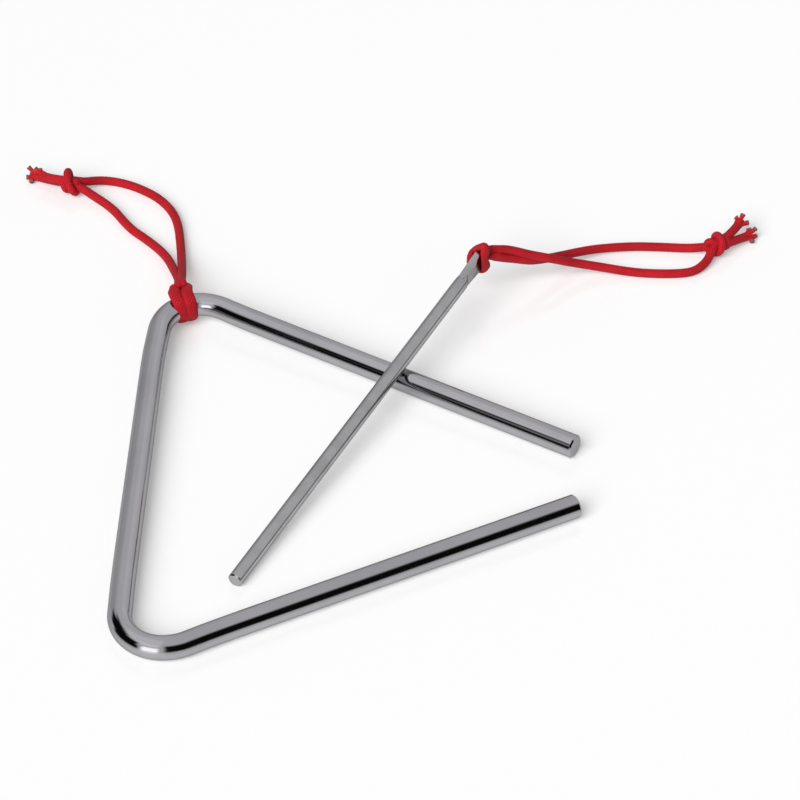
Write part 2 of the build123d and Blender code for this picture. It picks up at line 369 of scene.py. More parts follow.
class Nodes:
    """Short way to lay out shader nodes in a tree."""

    def __init__(self, tree: bpy.types.NodeTree) -> None:
        """Keeps the tree that nodes are added to."""
        self.tree = tree

    def add(self, kind: str, settings: dict[str, object] | None = None, **inputs: Input) -> bpy.types.Node:
        """Adds a node.

        Args:
            kind: Blender's name for the node type.
            settings: properties of the node itself.
            inputs: socket values or sockets to link, named with underscores for spaces.

        Returns:
            The node.
        """
        node = self.tree.nodes.new(kind)
        for key, value in (settings or {}).items():
            setattr(node, key, value)
        for key, value in inputs.items():
            self.feed(node.inputs[key.replace("_", " ")], value)
        return node

    def feed(self, socket: bpy.types.NodeSocket, value: Input) -> None:
        """Links a socket to another, or sets its value.

        Args:
            socket: the socket that is fed.
            value: an output socket or a plain value.
        """
        if isinstance(value, bpy.types.NodeSocket):
            self.tree.links.new(value, socket)
        else:
            socket.default_value = value

    def math(self, operation: str, *values: Input) -> bpy.types.NodeSocket:
        """Adds a sum or other operation on numbers.

        Args:
            operation: Blender's name for the operation.
            values: numbers or sockets.

        Returns:
            The result's socket.
        """
        node = self.tree.nodes.new("ShaderNodeMath")
        node.operation = operation
        for socket, value in zip(node.inputs, values):
            self.feed(socket, value)
        return node.outputs[0]

    def noise(self, where: bpy.types.NodeSocket, scale: Input, detail: float,
              roughness: float = 0.5) -> bpy.types.NodeSocket:
        """Adds a noise pattern.

        Args:
            where: coordinates.
            scale: fineness of the pattern.
            detail: layers of finer noise.
            roughness: strength of the finer layers.

        Returns:
            The pattern's socket.
        """
        node = self.add("ShaderNodeTexNoise", None, Vector=where, Scale=scale, Detail=detail,
                        Roughness=roughness)
        return node.outputs["Fac"]

    def ramp(self, value: Input, low: float, high: float, first: float = 0.0,
             last: float = 1.0) -> bpy.types.NodeSocket:
        """Adds a smooth step from one value to another.

        Args:
            value: number or socket to be mapped.
            low: where the step starts.
            high: where it ends.
            first: result at and below low.
            last: result at and above high.

        Returns:
            The result's socket.
        """
        node = self.add("ShaderNodeMapRange", {"interpolation_type": "SMOOTHSTEP"}, Value=value,
                        From_Min=low, From_Max=high, To_Min=first, To_Max=last)
        return node.outputs["Result"]

    def blend(self, factor: Input, first: Input, second: Input) -> bpy.types.NodeSocket:
        """Adds a mix of two colours.

        Args:
            factor: share of the second colour.
            first: colour or socket.
            second: colour or socket.

        Returns:
            The result's socket.
        """
        node = self.tree.nodes.new("ShaderNodeMix")
        node.data_type = "RGBA"
        # the node's sockets for colours share their names with those for numbers, so they go by place
        for index, value in ((0, factor), (6, first), (7, second)):
            self.feed(node.inputs[index], value)
        return node.outputs[2]


def fresh_material(name: str) -> tuple[bpy.types.Material, Nodes]:
    """Makes an empty material.

    Args:
        name: name of the material.

    Returns:
        The material and its nodes.
    """
    material = bpy.data.materials.new(name)
    material.use_nodes = True
    material.node_tree.nodes.clear()
    return material, Nodes(material.node_tree)


def add_surface(nodes: Nodes) -> bpy.types.Node:
    """Gives a material its Principled shader."""
    shader = nodes.add("ShaderNodeBsdfPrincipled")
    nodes.add("ShaderNodeOutputMaterial", None, Surface=shader.outputs[0])
    return shader


@dataclass(frozen=True)
class MetalWear:
    """Fine wear that both metals share: handling haze, grain and small pits."""

    name: str = "metal_wear"
    haze_detail: float = 4.0
    haze_roughness: float = 0.6
    grain_detail: float = 2.0
    grain_roughness: float = 0.7
    grain_height: float = 0.25      # of the grain beside the depth of a pit
    pit_fineness: float = 220.0
    pit_floor: float = 0.04         # from a pit's middle to where its wall starts, in cells
    pit_rim: float = 0.16

    def build(self) -> bpy.types.NodeTree:
        """Builds the node group.

        Returns:
            A group with Haze Size, Grain Size and Pit Share in, and Haze, Grain, Pits and Height out.
        """
        group = bpy.data.node_groups.new(self.name, "ShaderNodeTree")
        for title in ("Haze Size", "Grain Size", "Pit Share"):
            group.interface.new_socket(title, in_out="INPUT", socket_type="NodeSocketFloat")
        for title in ("Haze", "Grain", "Pits", "Height"):
            group.interface.new_socket(title, in_out="OUTPUT", socket_type="NodeSocketFloat")
        nodes = Nodes(group)
        entry = nodes.add("NodeGroupInput").outputs
        where = nodes.add("ShaderNodeTexCoord").outputs["Object"]
        haze = nodes.noise(where, entry["Haze Size"], self.haze_detail, self.haze_roughness)
        grain = nodes.noise(where, entry["Grain Size"], self.grain_detail, self.grain_roughness)
        cells = nodes.add("ShaderNodeTexVoronoi", None, Vector=where, Scale=self.pit_fineness)
        draw = nodes.add("ShaderNodeSeparateColor", None, Color=cells.outputs["Color"]).outputs[0]
        picked = nodes.math("LESS_THAN", draw, entry["Pit Share"])
        dips = nodes.ramp(cells.outputs["Distance"], self.pit_floor, self.pit_rim, 1.0, 0.0)
        pits = nodes.math("MULTIPLY", picked, dips)
        height = nodes.math("SUBTRACT", nodes.math("MULTIPLY", grain, self.grain_height), pits)
        leave = nodes.add("NodeGroupOutput")
        for title, value in (("Haze", haze), ("Grain", grain), ("Pits", pits), ("Height", height)):
            nodes.feed(leave.inputs[title], value)
        return group


@dataclass(frozen=True)
class MetalFinish:
    """A bare or plated metal surface with fine wear."""

    name: str
    colour: Colour
    hazed_colour: Colour
    smooth: float                   # roughness where the metal is clean
    rough: float                    # roughness where it is hazed and grained
    haze_size: float
    grain_size: float
    pit_share: float
    bump: float
    edge_tint: float
    pit_colour: Colour = (0.05, 0.05, 0.055)
    haze_range: tuple[float, float] = (0.35, 0.7)
    rough_range: tuple[float, float] = (0.2, 0.8)
    bump_depth: float = 0.02 * MM

    def build(self, wear: bpy.types.NodeTree) -> bpy.types.Material:
        """Builds the material.

        Args:
            wear: the shared group of fine wear.

        Returns:
            The material.
        """
        material, nodes = fresh_material(self.name)
        shader = add_surface(nodes)
        shader.inputs["Metallic"].default_value = 1.0
        edge = (self.edge_tint, self.edge_tint, self.edge_tint)
        shader.inputs["Specular Tint"].default_value = opaque(edge)
        marks = nodes.add("ShaderNodeGroup", {"node_tree": wear}, Haze_Size=self.haze_size,
                          Grain_Size=self.grain_size, Pit_Share=self.pit_share).outputs
        haze = nodes.ramp(marks["Haze"], *self.haze_range)
        colour = nodes.blend(haze, opaque(self.colour), opaque(self.hazed_colour))
        nodes.feed(shader.inputs["Base Color"], nodes.blend(marks["Pits"], colour, opaque(self.pit_colour)))
        grained = nodes.math("MULTIPLY", nodes.math("ADD", haze, marks["Grain"]), 0.5)
        rough = nodes.ramp(grained, *self.rough_range, self.smooth, self.rough)
        nodes.feed(shader.inputs["Roughness"], rough)
        bump = nodes.add("ShaderNodeBump", None, Strength=self.bump, Distance=self.bump_depth,
                         Height=marks["Height"])
        nodes.feed(shader.inputs["Normal"], bump.outputs["Normal"])
        return material


@dataclass(frozen=True)
class CordFinish:
    """Dyed, braided cord with painted shade in the grooves of the braid and where it turns away from view,
    painted glints on its crowns, faded patches, and singed where it is cut.
    """

    name: str = "red_braid"
    crown_colour: Colour = (0.50, 0.012, 0.019)
    # painted shade for the grooves and for where the cord turns away from view; also the tone of the faded
    # patches
    shade_and_fade_colour: Colour = (0.18, 0.004, 0.013)
    # painted glints on the crowns of the braid
    glint_colour: Colour = (0.72, 0.14, 0.12)
    singed_colour: Colour = (0.20, 0.085, 0.09)
    rough: float = 0.62
    gloss: float = 0.2
    fibre_fineness: float = 2600.0
    fibre_detail: float = 2.0
    fibre_roughness: float = 0.6
    fibre_bump: float = 0.35
    fibre_depth: float = 0.05 * MM
    patch_fineness: float = 160.0
    patch_detail: float = 2.0
    groove_shade_range: tuple[float, float] = (0.15, 0.75)      # heights of the braid between groove and crown, over which the painted shade of the grooves fades out
    glint_range: tuple[float, float] = (0.58, 0.74)
    glint_crowns: tuple[float, float] = (0.5, 0.9)      # heights of the braid that the glints need
    glint_share: float = 0.5
    faded_range: tuple[float, float] = (0.35, 0.75)
    faded_share: float = 0.25
    # painted shade where the cord turns away from view
    edge_shade_blend: float = 0.35
    edge_shade_range: tuple[float, float] = (0.35, 1.0)
    edge_shade_share: float = 0.75

    def build(self) -> bpy.types.Material:
        """Builds the material.

        Returns:
            The material.
        """
        material, nodes = fresh_material(self.name)
        shader = add_surface(nodes)
        groove = opaque(self.shade_and_fade_colour)
        crown = nodes.add("ShaderNodeAttribute", {"attribute_name": "crown"}).outputs["Fac"]
        fray = nodes.add("ShaderNodeAttribute", {"attribute_name": "fray"}).outputs["Fac"]
        where = nodes.add("ShaderNodeTexCoord").outputs["Object"]
        fibres = nodes.noise(where, self.fibre_fineness, self.fibre_detail, self.fibre_roughness)
        patches = nodes.noise(where, self.patch_fineness, self.patch_detail)
        # painted shade: the grooves of the braid are darkened by their height
        groove_shaded = nodes.blend(nodes.ramp(crown, *self.groove_shade_range), groove, opaque(self.crown_colour))
        # painted glints: lighter colour where the fibre pattern peaks on a crown
        glint = nodes.math("MULTIPLY", nodes.ramp(fibres, *self.glint_range),
                           nodes.ramp(crown, *self.glint_crowns))
        lit = nodes.blend(nodes.math("MULTIPLY", glint, self.glint_share), groove_shaded, opaque(self.glint_colour))
        faded = nodes.blend(nodes.ramp(patches, *self.faded_range, 0.0, self.faded_share), lit, groove)
        # painted shade towards the cord's outline, from how far its surface faces away from view
        facing = nodes.add("ShaderNodeLayerWeight", None, Blend=self.edge_shade_blend).outputs["Facing"]
        edge_shaded = nodes.blend(nodes.ramp(facing, *self.edge_shade_range, 0.0, self.edge_shade_share), faded, groove)
        nodes.feed(shader.inputs["Base Color"], nodes.blend(fray, edge_shaded, opaque(self.singed_colour)))
        shader.inputs["Roughness"].default_value = self.rough
        shader.inputs["Specular IOR Level"].default_value = self.gloss
        bump = nodes.add("ShaderNodeBump", None, Strength=self.fibre_bump, Distance=self.fibre_depth,
                         Height=fibres)
        nodes.feed(shader.inputs["Normal"], bump.outputs["Normal"])
        return material


@dataclass(frozen=True)
class Strand:
    """One side of a loop: how it comes off its hitch, and its way from there to the knot."""

    title: str
    side: Side
    ramp: Route
    route: Route

    def start(self) -> Vector:
        """Finds where the strand takes over from the hitch."""
        return (place(self.ramp[-1]) + place(self.route[0])) / 2


@dataclass(frozen=True)
class Tail:
    """A frayed end of a cord: its way from the knot, and where its loose yarns reach from its end."""

    title: str
    side: Side
    route: Route
    fingers: Route                  # right, back and up, in millimetres


@dataclass(frozen=True)
class Knot:
    """Where a knot sits, which way its tails leave and how the cord is wound round it."""

    centre: Point
    way: Point
    wrap: Route                     # degrees round it from its face, millimetres along it and out from it
    face: Point = (0.0, -0.79, 0.62)


@dataclass
class Winding:
    """Lay of a hitch round what it holds."""

    axis_point: Vector
    axis: Vector
    bar: Vector                     # middle of the bar that joins the hitch's two halves
    turns: dict[Side, list[Vector]]     # from beside that bar to the strand of each side


@dataclass
class CordMaker:
    """Makes the pieces of a loop of cord. Sizes are in metres."""

    title: str
    body: Body
    braid: Braid
    finish: bpy.types.Material
    diameter: float = 3.0 * MM
    radius: float = 1.6 * MM        # over the crowns of the braid
    columns: int = 50
    spacing: float = 0.2 * MM
    knot_cord: float = 1.4 * MM
    core: float = 2.2 * MM          # half thickness of the strands bunched inside a knot
    core_reach: float = 4.0 * MM
    core_taper: float = 0.85        # share of its thickness that the bunch loses towards its ends
    core_power: int = 4             # how late it loses it
    round_run: float = 3.5 * MM     # over which a hitch becomes round before its strands take over
    end_points: int = 6             # last points of a tail, which give the way that its end faces
    finger_radius: float = 0.85 * MM
    finger_columns: int = 16
    finger_root: float = 2.4 * MM   # from a tail's end back to where its yarns part
    finger_bend: float = 0.5 * MM
    root_spread: float = 0.45       # of the yarns from the tail's middle, in radii
    bend_spread: float = 0.75
    finger_swell: float = 0.12
    swell_waves: float = 7.0
    singed_from: float = 0.78       # share of a yarn's length where its tip starts to darken
    singed_run: float = 0.16

    def settle(self, pile: MeshPile, title: str, rides: bool = True) -> bpy.types.Object:
        """Makes a piece and puts it in the place of a solid of the model.

        Args:
            pile: the gathered mesh.
            title: what the solid is within its loop.
            rides: False for a piece that lies between two bodies and rides on neither.

        Returns:
            The piece.
        """
        node = f"{self.title}_{title}"
        piece = pile.make(f"{node}_braid", self.finish)
        dress(piece, node, self.body if rides else None)
        return piece

    def add_cord(self, pile: MeshPile, poles: list[Vector], radius: float) -> np.ndarray:
        """Adds a round, braided run of cord.

        Args:
            pile: the mesh that it is added to.
            poles: its control points.
            radius: half its thickness.

        Returns:
            The points that it follows.
        """
        line, along = even_points(read_line(poles), self.spacing)
        thick = np.full(len(line), radius)
        pile.add_tube(line, along, thick, thick, self.columns, self.braid)
        return line

    def make_strand(self, strand: Strand, end: Vector) -> tuple[bpy.types.Object, np.ndarray]:
        """Builds one braided strand.

        Args:
            strand: its name and route.
            end: its last pole, inside the knot.

        Returns:
            The piece, and the points that it follows.
        """
        pile = MeshPile()
        line = self.add_cord(pile, [strand.start(), *place_all(strand.route), end], self.radius)
        return self.settle(pile, f"strand_{strand.title}"), line

    def make_hitch(self, poles: list[Vector], winding: Winding, pressed: tuple[float, float],
                   loosens: tuple[float, float], rides: bool) -> bpy.types.Object:
        """Builds a hitch, pressed flat where it is pulled round what it holds.

        Args:
            poles: control points from one strand to the other.
            winding: the axis that the hitch goes round.
            pressed: half thickness and half width where the cord is pressed flat.
            loosens: distances from the axis between which it becomes round again.
            rides: False for a hitch that lies between two bodies and rides on neither.

        Returns:
            The piece.
        """
        line, along = even_points(read_line(poles), self.spacing)
        axis = np.array(winding.axis)
        away = line - np.array(winding.axis_point)
        away -= np.outer(away @ axis, axis)
        apart = np.linalg.norm(away, axis=1)
        loose = np.clip((apart - loosens[0]) / (loosens[1] - loosens[0]), 0.0, 1.0)
        from_end = np.minimum(along, along[-1] - along)
        share = smooth_step(np.maximum(loose, np.clip(1.0 - from_end / self.round_run, 0.0, 1.0)))
        high = pressed[0] + (self.radius - pressed[0]) * share
        wide = pressed[1] + (self.radius - pressed[1]) * share
        pile = MeshPile()
        pile.add_tube(line, along, high, wide, self.columns, self.braid, facing=away)
        return self.settle(pile, "hitch", rides)

    def make_knot(self, knot: Knot) -> bpy.types.Object:
        """Builds the overhand knot: cord wound round the bunched strands and tucked in.

        Args:
            knot: its place and its wrap.

        Returns:
            The piece.
        """
        centre = place(knot.centre)
        way = Vector(knot.way).normalized()
        front = Vector(knot.face)
        over = front.cross(way).normalized()
        over = over if over.z > 0 else -over
        face = (front - way * front.dot(way)).normalized()
        poles = []
        for degrees, forward, reach in knot.wrap:
            turn = math.radians(degrees)
            spoke = face * math.cos(turn) + over * math.sin(turn)
            poles.append(centre + (way * forward + spoke * reach) * MM)
        pile = MeshPile()
        self.add_cord(pile, poles, self.knot_cord)
        run = way * self.core_reach
        core, along = even_points(read_line([centre - run, centre, centre + run]), self.spacing)
        from_middle = 2.0 * along / along[-1] - 1.0
        bunched = self.core * (1.0 - self.core_taper * from_middle ** self.core_power)
        pile.add_tube(core, along, bunched, bunched, self.columns, self.braid)
        return self.settle(pile, "knot")

    def make_tail(self, tail: Tail, start: Vector) -> bpy.types.Object:
        """Builds a tail whose cut end has come apart into singed yarns.

        Args:
            tail: its name, route and loose yarns.
            start: its first pole, inside the knot.

        Returns:
            The piece.
        """
        pile = MeshPile()
        line = self.add_cord(pile, [start, *place_all(tail.route)], self.radius)
        end = Vector(line[-1])
        way = (end - Vector(line[-self.end_points])).normalized()
        for finger, reach in enumerate(tail.fingers):
            tip = Vector(reach) * MM
            spoke = (tip - way * tip.dot(way)).normalized() * self.radius
            root = end - way * self.finger_root + spoke * self.root_spread
            bend = end + way * self.finger_bend + spoke * self.bend_spread
            yarn, along = even_points(read_line([root, bend, end + tip]), self.spacing)
            share = along / along[-1]
            thick = self.finger_radius * (1.0 + self.finger_swell * np.sin(self.swell_waves * share + finger))
            singed = np.clip((share - self.singed_from) / self.singed_run, 0.0, 1.0)
            pile.add_tube(yarn, along, thick, thick, self.finger_columns, fray=singed)
        return self.settle(pile, f"tail_{tail.title}")


@dataclass
class HitchedLoop(ABC):
    """A loop of cord on a rod: its hitch, two strands, the knot that closes it and two frayed tails."""

    title: str
    body: Body
    strands: tuple[Strand, Strand]
    tails: tuple[Tail, Tail]
    knot: Knot
    pressed: tuple[float, float]    # half thickness and half width of the hitch where it is pulled tight
    loosens: tuple[float, float]    # distances from the rod's axis between which it becomes round again
    knot_apart: float = 1.0 * MM    # from a knot's middle to where strands and tails end inside it
    bends: bool = False             # True where the hitch lies between its rod and its strands and rides on neither

    @abstractmethod
    def wind(self, joint: Joint) -> Winding:
        """Lays the hitch round what it holds.

        Args:
            joint: the hinge that the loop swings on.

        Returns:
            The hitch's axis and control points.
        """

    def join(self, hitch: bpy.types.Object, winding: Winding) -> None:
        """Leaves the hitch as it is; a plain one rides on its cord already."""

    def build(self, joint: Joint, braid: Braid, finish: bpy.types.Material) -> None:
        """Builds every piece of the loop.

        Args:
            joint: the hinge that the loop swings on.
            braid: relief of the cord.
            finish: material of the cord.
        """
        maker = CordMaker(self.title, self.body, braid, finish)
        winding = self.wind(joint)
        first, second = ([*winding.turns[strand.side], *place_all(strand.ramp), strand.start()]
                         for strand in self.strands)
        poles = [*reversed(first), winding.bar, *second]
        hitch = maker.make_hitch(poles, winding, self.pressed, self.loosens, rides=not self.bends)
        self.join(hitch, winding)
        knot = maker.make_knot(self.knot)
        inside = {side: place(self.knot.centre) + UP * (side.value * self.knot_apart) for side in Side}
        tails = [maker.make_tail(tail, inside[tail.side]) for tail in self.tails]
        for strand in self.strands:
            piece, line = maker.make_strand(strand, inside[strand.side])
            strand.start()


@dataclass
class HolderCord(HitchedLoop):
    """The loop that the triangle hangs from, hitched round its upper bend."""

    title: str = "holder"
    body: Body = Body.HOLDER_CORD
    strands: tuple[Strand, Strand] = (
        Strand("right", Side.FIRST, ((-49.8, 96.4, 10.0), (-50.1, 102.1, 8.4)), (
            (-51.0, 112.2, 5.2), (-51.9, 120.7, 3.2), (-52.9, 129.1, 2.0), (-54.6, 141.3, 1.6),
            (-57.3, 150.0, 1.6), (-62.9, 158.4, 1.6), (-70.2, 164.3, 1.6), (-77.1, 167.9, 1.6),
            (-83.4, 169.1, 1.8), (-88.0, 167.6, 2.6), (-91.3, 164.9, 3.8))),
        Strand("left", Side.SECOND, ((-50.6, 96.6, 9.3), (-51.7, 102.8, 7.1)), (
            (-54.0, 111.4, 4.4), (-56.0, 117.8, 3.0), (-58.6, 123.7, 2.0), (-62.3, 129.0, 1.6),
            (-66.8, 134.0, 1.6), (-71.0, 138.2, 1.6), (-74.8, 143.9, 1.6), (-78.2, 149.7, 1.6),
            (-82.2, 154.5, 1.7), (-87.2, 158.5, 2.4), (-91.3, 161.1, 3.8))))
    tails: tuple[Tail, Tail] = (
        Tail("top", Side.FIRST,
             ((-97.9, 162.5, 6.2), (-101.0, 164.2, 5.4), (-104.2, 166.0, 4.8), (-107.0, 167.8, 4.4)),
             ((-0.3, 1.2, 2.3), (-2.2, 1.3, 2.2))),
        Tail("under", Side.SECOND,
             ((-98.3, 165.0, 3.4), (-101.9, 167.3, 2.4), (-105.8, 169.5, 1.8), (-109.9, 171.2, 1.8)),
             ((-2.2, 1.9, 2.6), (-2.8, -0.9, 0.0), (-0.8, -3.0, -0.6), (-1.6, 2.2, -0.4))))
    knot: Knot = Knot((-95.3, 163.6, 4.5), (-0.86, 0.51, 0.0), (
        (-170, -0.8, 0.8), (-130, -2.5, 2.3), (-95, -3.1, 3.1), (-60, -2.7, 3.4), (-25, -1.4, 3.5),
        (10, 0.2, 3.5), (45, 1.7, 3.4), (80, 2.8, 3.4), (115, 3.2, 3.2), (150, 3.0, 3.0), (185, 2.4, 3.0),
        (220, 1.6, 3.0), (255, 0.9, 3.2), (290, 0.9, 3.2), (325, 1.3, 3.0), (355, 1.6, 2.4), (385, 0.9, 1.4),
        (410, 0.2, 0.7)))
    pressed: tuple[float, float] = (0.8 * MM, 2.2 * MM)
    loosens: tuple[float, float] = (5.6 * MM, 7.8 * MM)
    settled: Point = (0.0, 1.1, 0.0)    # of the real bend from the true one, in millimetres
    bar: Point = (-0.3, 8.2, 1.2)       # along the rod, out from its axis and up, in millimetres
    turns: tuple[tuple[float, ...], ...] = (    # along, and half the spread; out, and half its spread; up
        (-0.3, 2.2, 8.2, 0.0, 1.8), (-0.3, 2.3, 6.2, -0.4, 3.8), (-2.1, 2.2, 1.5, 0.0, 5.4),
        (-1.9, 1.95, -4.7, 0.0, 4.6), (-1.1, 1.45, -4.7, 0.0, -4.3), (-0.5, 1.5, 4.7, 0.0, -4.6),
        (-0.3, 0.9, 4.8, 0.0, 3.4), (-0.1, 0.8, 7.3, 0.0, 4.6))

    def wind(self, joint: Joint) -> Winding:
        """Lays the hitch round the rod: from its bar over the rod, back under it and out over the bar.

        Args:
            joint: the hinge that the loop swings on.

        Returns:
            The hitch's axis and control points.
        """
        origin = Vector(joint["pos_m"]) + Vector(self.settled) * MM
        along = Vector(joint["axis"]).normalized()
        out = UP.cross(along).normalized()

        def at(across: float, outwards: float, over: float) -> Vector:
            """Finds a point beside the rod, in millimetres from its axis."""
            return origin + (along * across + out * outwards + UP * over) * MM

        turns = {side: [at(middle + side.value * spread, outwards + side.value * lean, over)
                        for middle, spread, outwards, lean, over in self.turns]
                 for side in Side}
        return Winding(origin, along, at(*self.bar), turns)


@dataclass
class BeaterCord(HitchedLoop):
    """The loop on the beater, hitched through the eye at its flat end."""

    title: str = "beater"
    body: Body = Body.BEATER_CORD
    strands: tuple[Strand, Strand] = (
        Strand("near", Side.FIRST, ((59.6, 107.2, 18.0),), (
            (62.7, 109.2, 16.8), (66.3, 110.4, 15.3), (71.5, 111.5, 13.0), (79.0, 112.5, 10.8),
            (86.5, 116.5, 6.4), (96.5, 119.0, 2.9), (108.2, 117.8, 1.6), (117.7, 117.2, 1.6),
            (126.4, 117.8, 1.6), (130.8, 119.6, 1.8), (134.3, 123.8, 2.4), (136.0, 127.7, 3.6))),
        Strand("far", Side.SECOND, ((59.6, 105.6, 16.2),), (
            (62.8, 107.8, 14.1), (66.3, 110.0, 12.3), (71.8, 111.8, 10.2), (78.3, 116.6, 8.0),
            (85.5, 123.3, 5.2), (94.5, 130.0, 2.8), (107.4, 133.5, 1.7), (118.1, 133.6, 1.6),
            (128.1, 132.6, 1.9), (134.7, 131.3, 3.6))))
    tails: tuple[Tail, Tail] = (
        Tail("raised", Side.FIRST,
             ((140.9, 133.9, 5.6), (143.0, 137.0, 5.4), (145.1, 140.9, 5.2), (146.9, 144.5, 5.2)),
             ((-1.6, 1.2, 1.6), (1.1, 1.8, 2.4), (3.1, 0.2, -0.2), (0.9, 2.6, -0.8))),
        Tail("low", Side.SECOND,
             ((141.9, 133.1, 4.0), (144.9, 135.9, 3.4), (147.5, 138.6, 2.6), (150.3, 140.9, 2.0)),
             ((2.3, 1.7, 2.1), (0.8, -2.6, -0.6), (-0.3, 1.7, 2.2), (2.4, 1.0, -0.6))))
    knot: Knot = Knot((138.5, 132.5, 4.5), (0.6, 0.8, 0.0), (
        (-330, -1.6, 0.8), (-295, -2.5, 1.9), (-260, -3.0, 2.5), (-225, -3.2, 2.6), (-190, -3.2, 2.5),
        (-155, -3.0, 2.5), (-120, -2.7, 2.6), (-90, -2.3, 2.8), (-60, -1.8, 2.9), (-25, -1.0, 2.9),
        (10, -0.1, 2.9), (45, 0.7, 2.8), (80, 1.3, 2.7), (115, 1.6, 2.6), (150, 1.8, 2.5), (185, 2.0, 2.5),
        (220, 2.2, 2.5), (255, 2.4, 2.7), (290, 2.5, 2.8), (325, 2.4, 2.6), (355, 2.0, 2.2), (385, 1.2, 1.4),
        (410, 0.4, 0.7)))
    pressed: tuple[float, float] = (1.05 * MM, 2.0 * MM)
    loosens: tuple[float, float] = (4.5 * MM, 6.2 * MM)
    bends: bool = True
    yields: tuple[float, float] = (1.5 * MM, 6.5 * MM)  # from the eye to where it starts and ends to bend
    bar: Point = (2.25, -2.6, 0.6)  # across the blade, along the beater and up from the eye, in millimetres
    over_edge: Route = ((2.4, -1.4, 5.6), (0.6, -0.8, 5.5), (-4.0, 0.2, 0.8), (-2.6, -4.4, 1.4),
                        (-2.5, -3.0, -0.6), (-2.4, 0.4, 0.6), (0.3, 0.9, 1.1))
    under_edge: Route = ((2.4, -1.0, -4.7), (-1.6, -1.0, -5.3), (-2.5, -2.6, -2.6), (-2.4, 0.4, -1.2),
                         (0.3, 0.9, -1.1))

    def wind(self, joint: Joint) -> Winding:
        """Lays the hitch round the blade: over both edges and out through the eye.

        Args:
            joint: the hinge that the loop swings on.

        Returns:
            The hitch's axis and control points.
        """
        eye = Vector(joint["pos_m"])
        across = Vector(joint["axis"]).normalized()
        way = Vector(BEATER_WAY).normalized()
        over = across.cross(way)

        def at(sideways: float, forward: float, upwards: float) -> Vector:
            """Finds a point at the eye, in millimetres from its centre."""
            return eye + (across * sideways + way * forward + over * upwards) * MM

        turns = {Side.FIRST: [at(*point) for point in self.over_edge],
                 Side.SECOND: [at(*point) for point in self.under_edge]}
        return Winding(eye, way, at(*self.bar), turns)

    def join(self, hitch: bpy.types.Object, winding: Winding) -> None:
        """Bakes the hitch's place into its mesh; it rides on no body.

        Args:
            hitch: the hitch.
            winding: where it is wound; not used.
        """
        near, far = (strand.start() for strand in self.strands)
        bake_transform(hitch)


def arc_points(centre: Vector, start: Vector, degrees: float, steps: int) -> list[Vector]:
    """Lays points on a level arc.

    Args:
        centre: middle of the arc.
        start: its first point.
        degrees: how far it turns.
        steps: runs that it is divided into.

    Returns:
        The points, both ends included.
    """
    spoke = start - centre
    turns = [Quaternion(UP, math.radians(degrees * step / steps)) for step in range(steps + 1)]
    return [centre + turn @ spoke for turn in turns]


def between(start: Vector, end: Vector, steps: int) -> list[Vector]:
    """Lays points on a straight run, both ends left out."""
    return [start.lerp(end, step / steps) for step in range(1, steps)]


